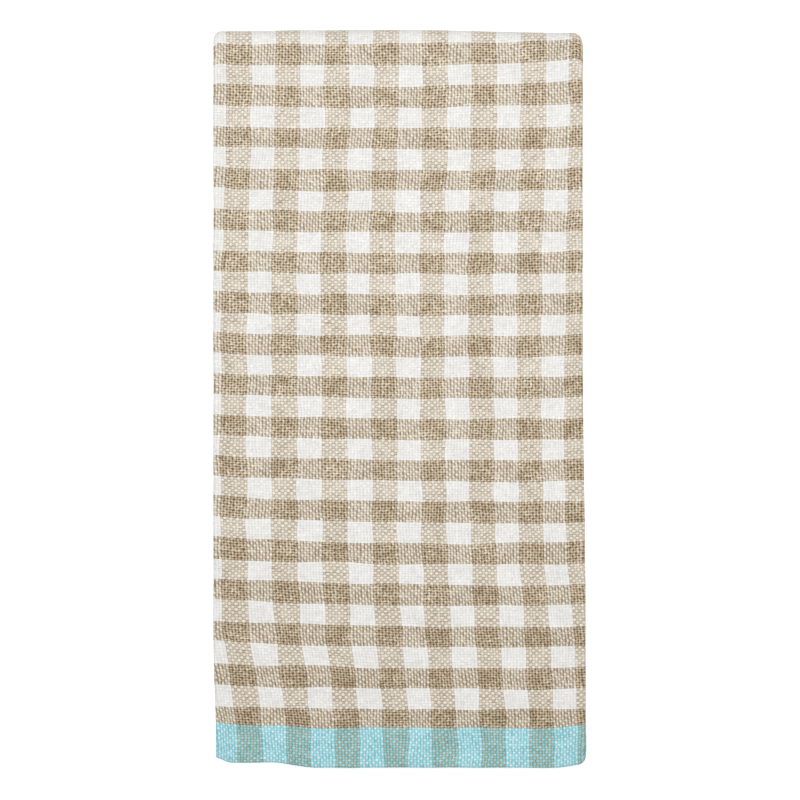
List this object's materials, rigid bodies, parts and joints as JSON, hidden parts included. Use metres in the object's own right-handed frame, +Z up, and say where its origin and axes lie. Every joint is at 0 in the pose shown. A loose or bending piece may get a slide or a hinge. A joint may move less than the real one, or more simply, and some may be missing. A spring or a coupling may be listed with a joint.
{
  "type": "tea towel",
  "caption": "Checked woven tea towel folded in thirds along its length, then in half, lying flat with its hemmed and banded end at the bottom.",
  "frame": {"origin": "on the surface the towel lies on, under the middle of the folded towel's box", "axes": "+X across the folded towel, +Y along it from the hemmed end towards the cross fold, +Z up through its layers"},
  "size_m": [0.1788, 0.3536, 0.0115],
  "materials": {
    "checked_cloth": "matt plain weave of coarse yarn in a white and taupe check, with an aqua band of weft along each end"
  },
  "bodies": {
    "root": {"towel": "checked_cloth"}
  },
  "joints": []
}
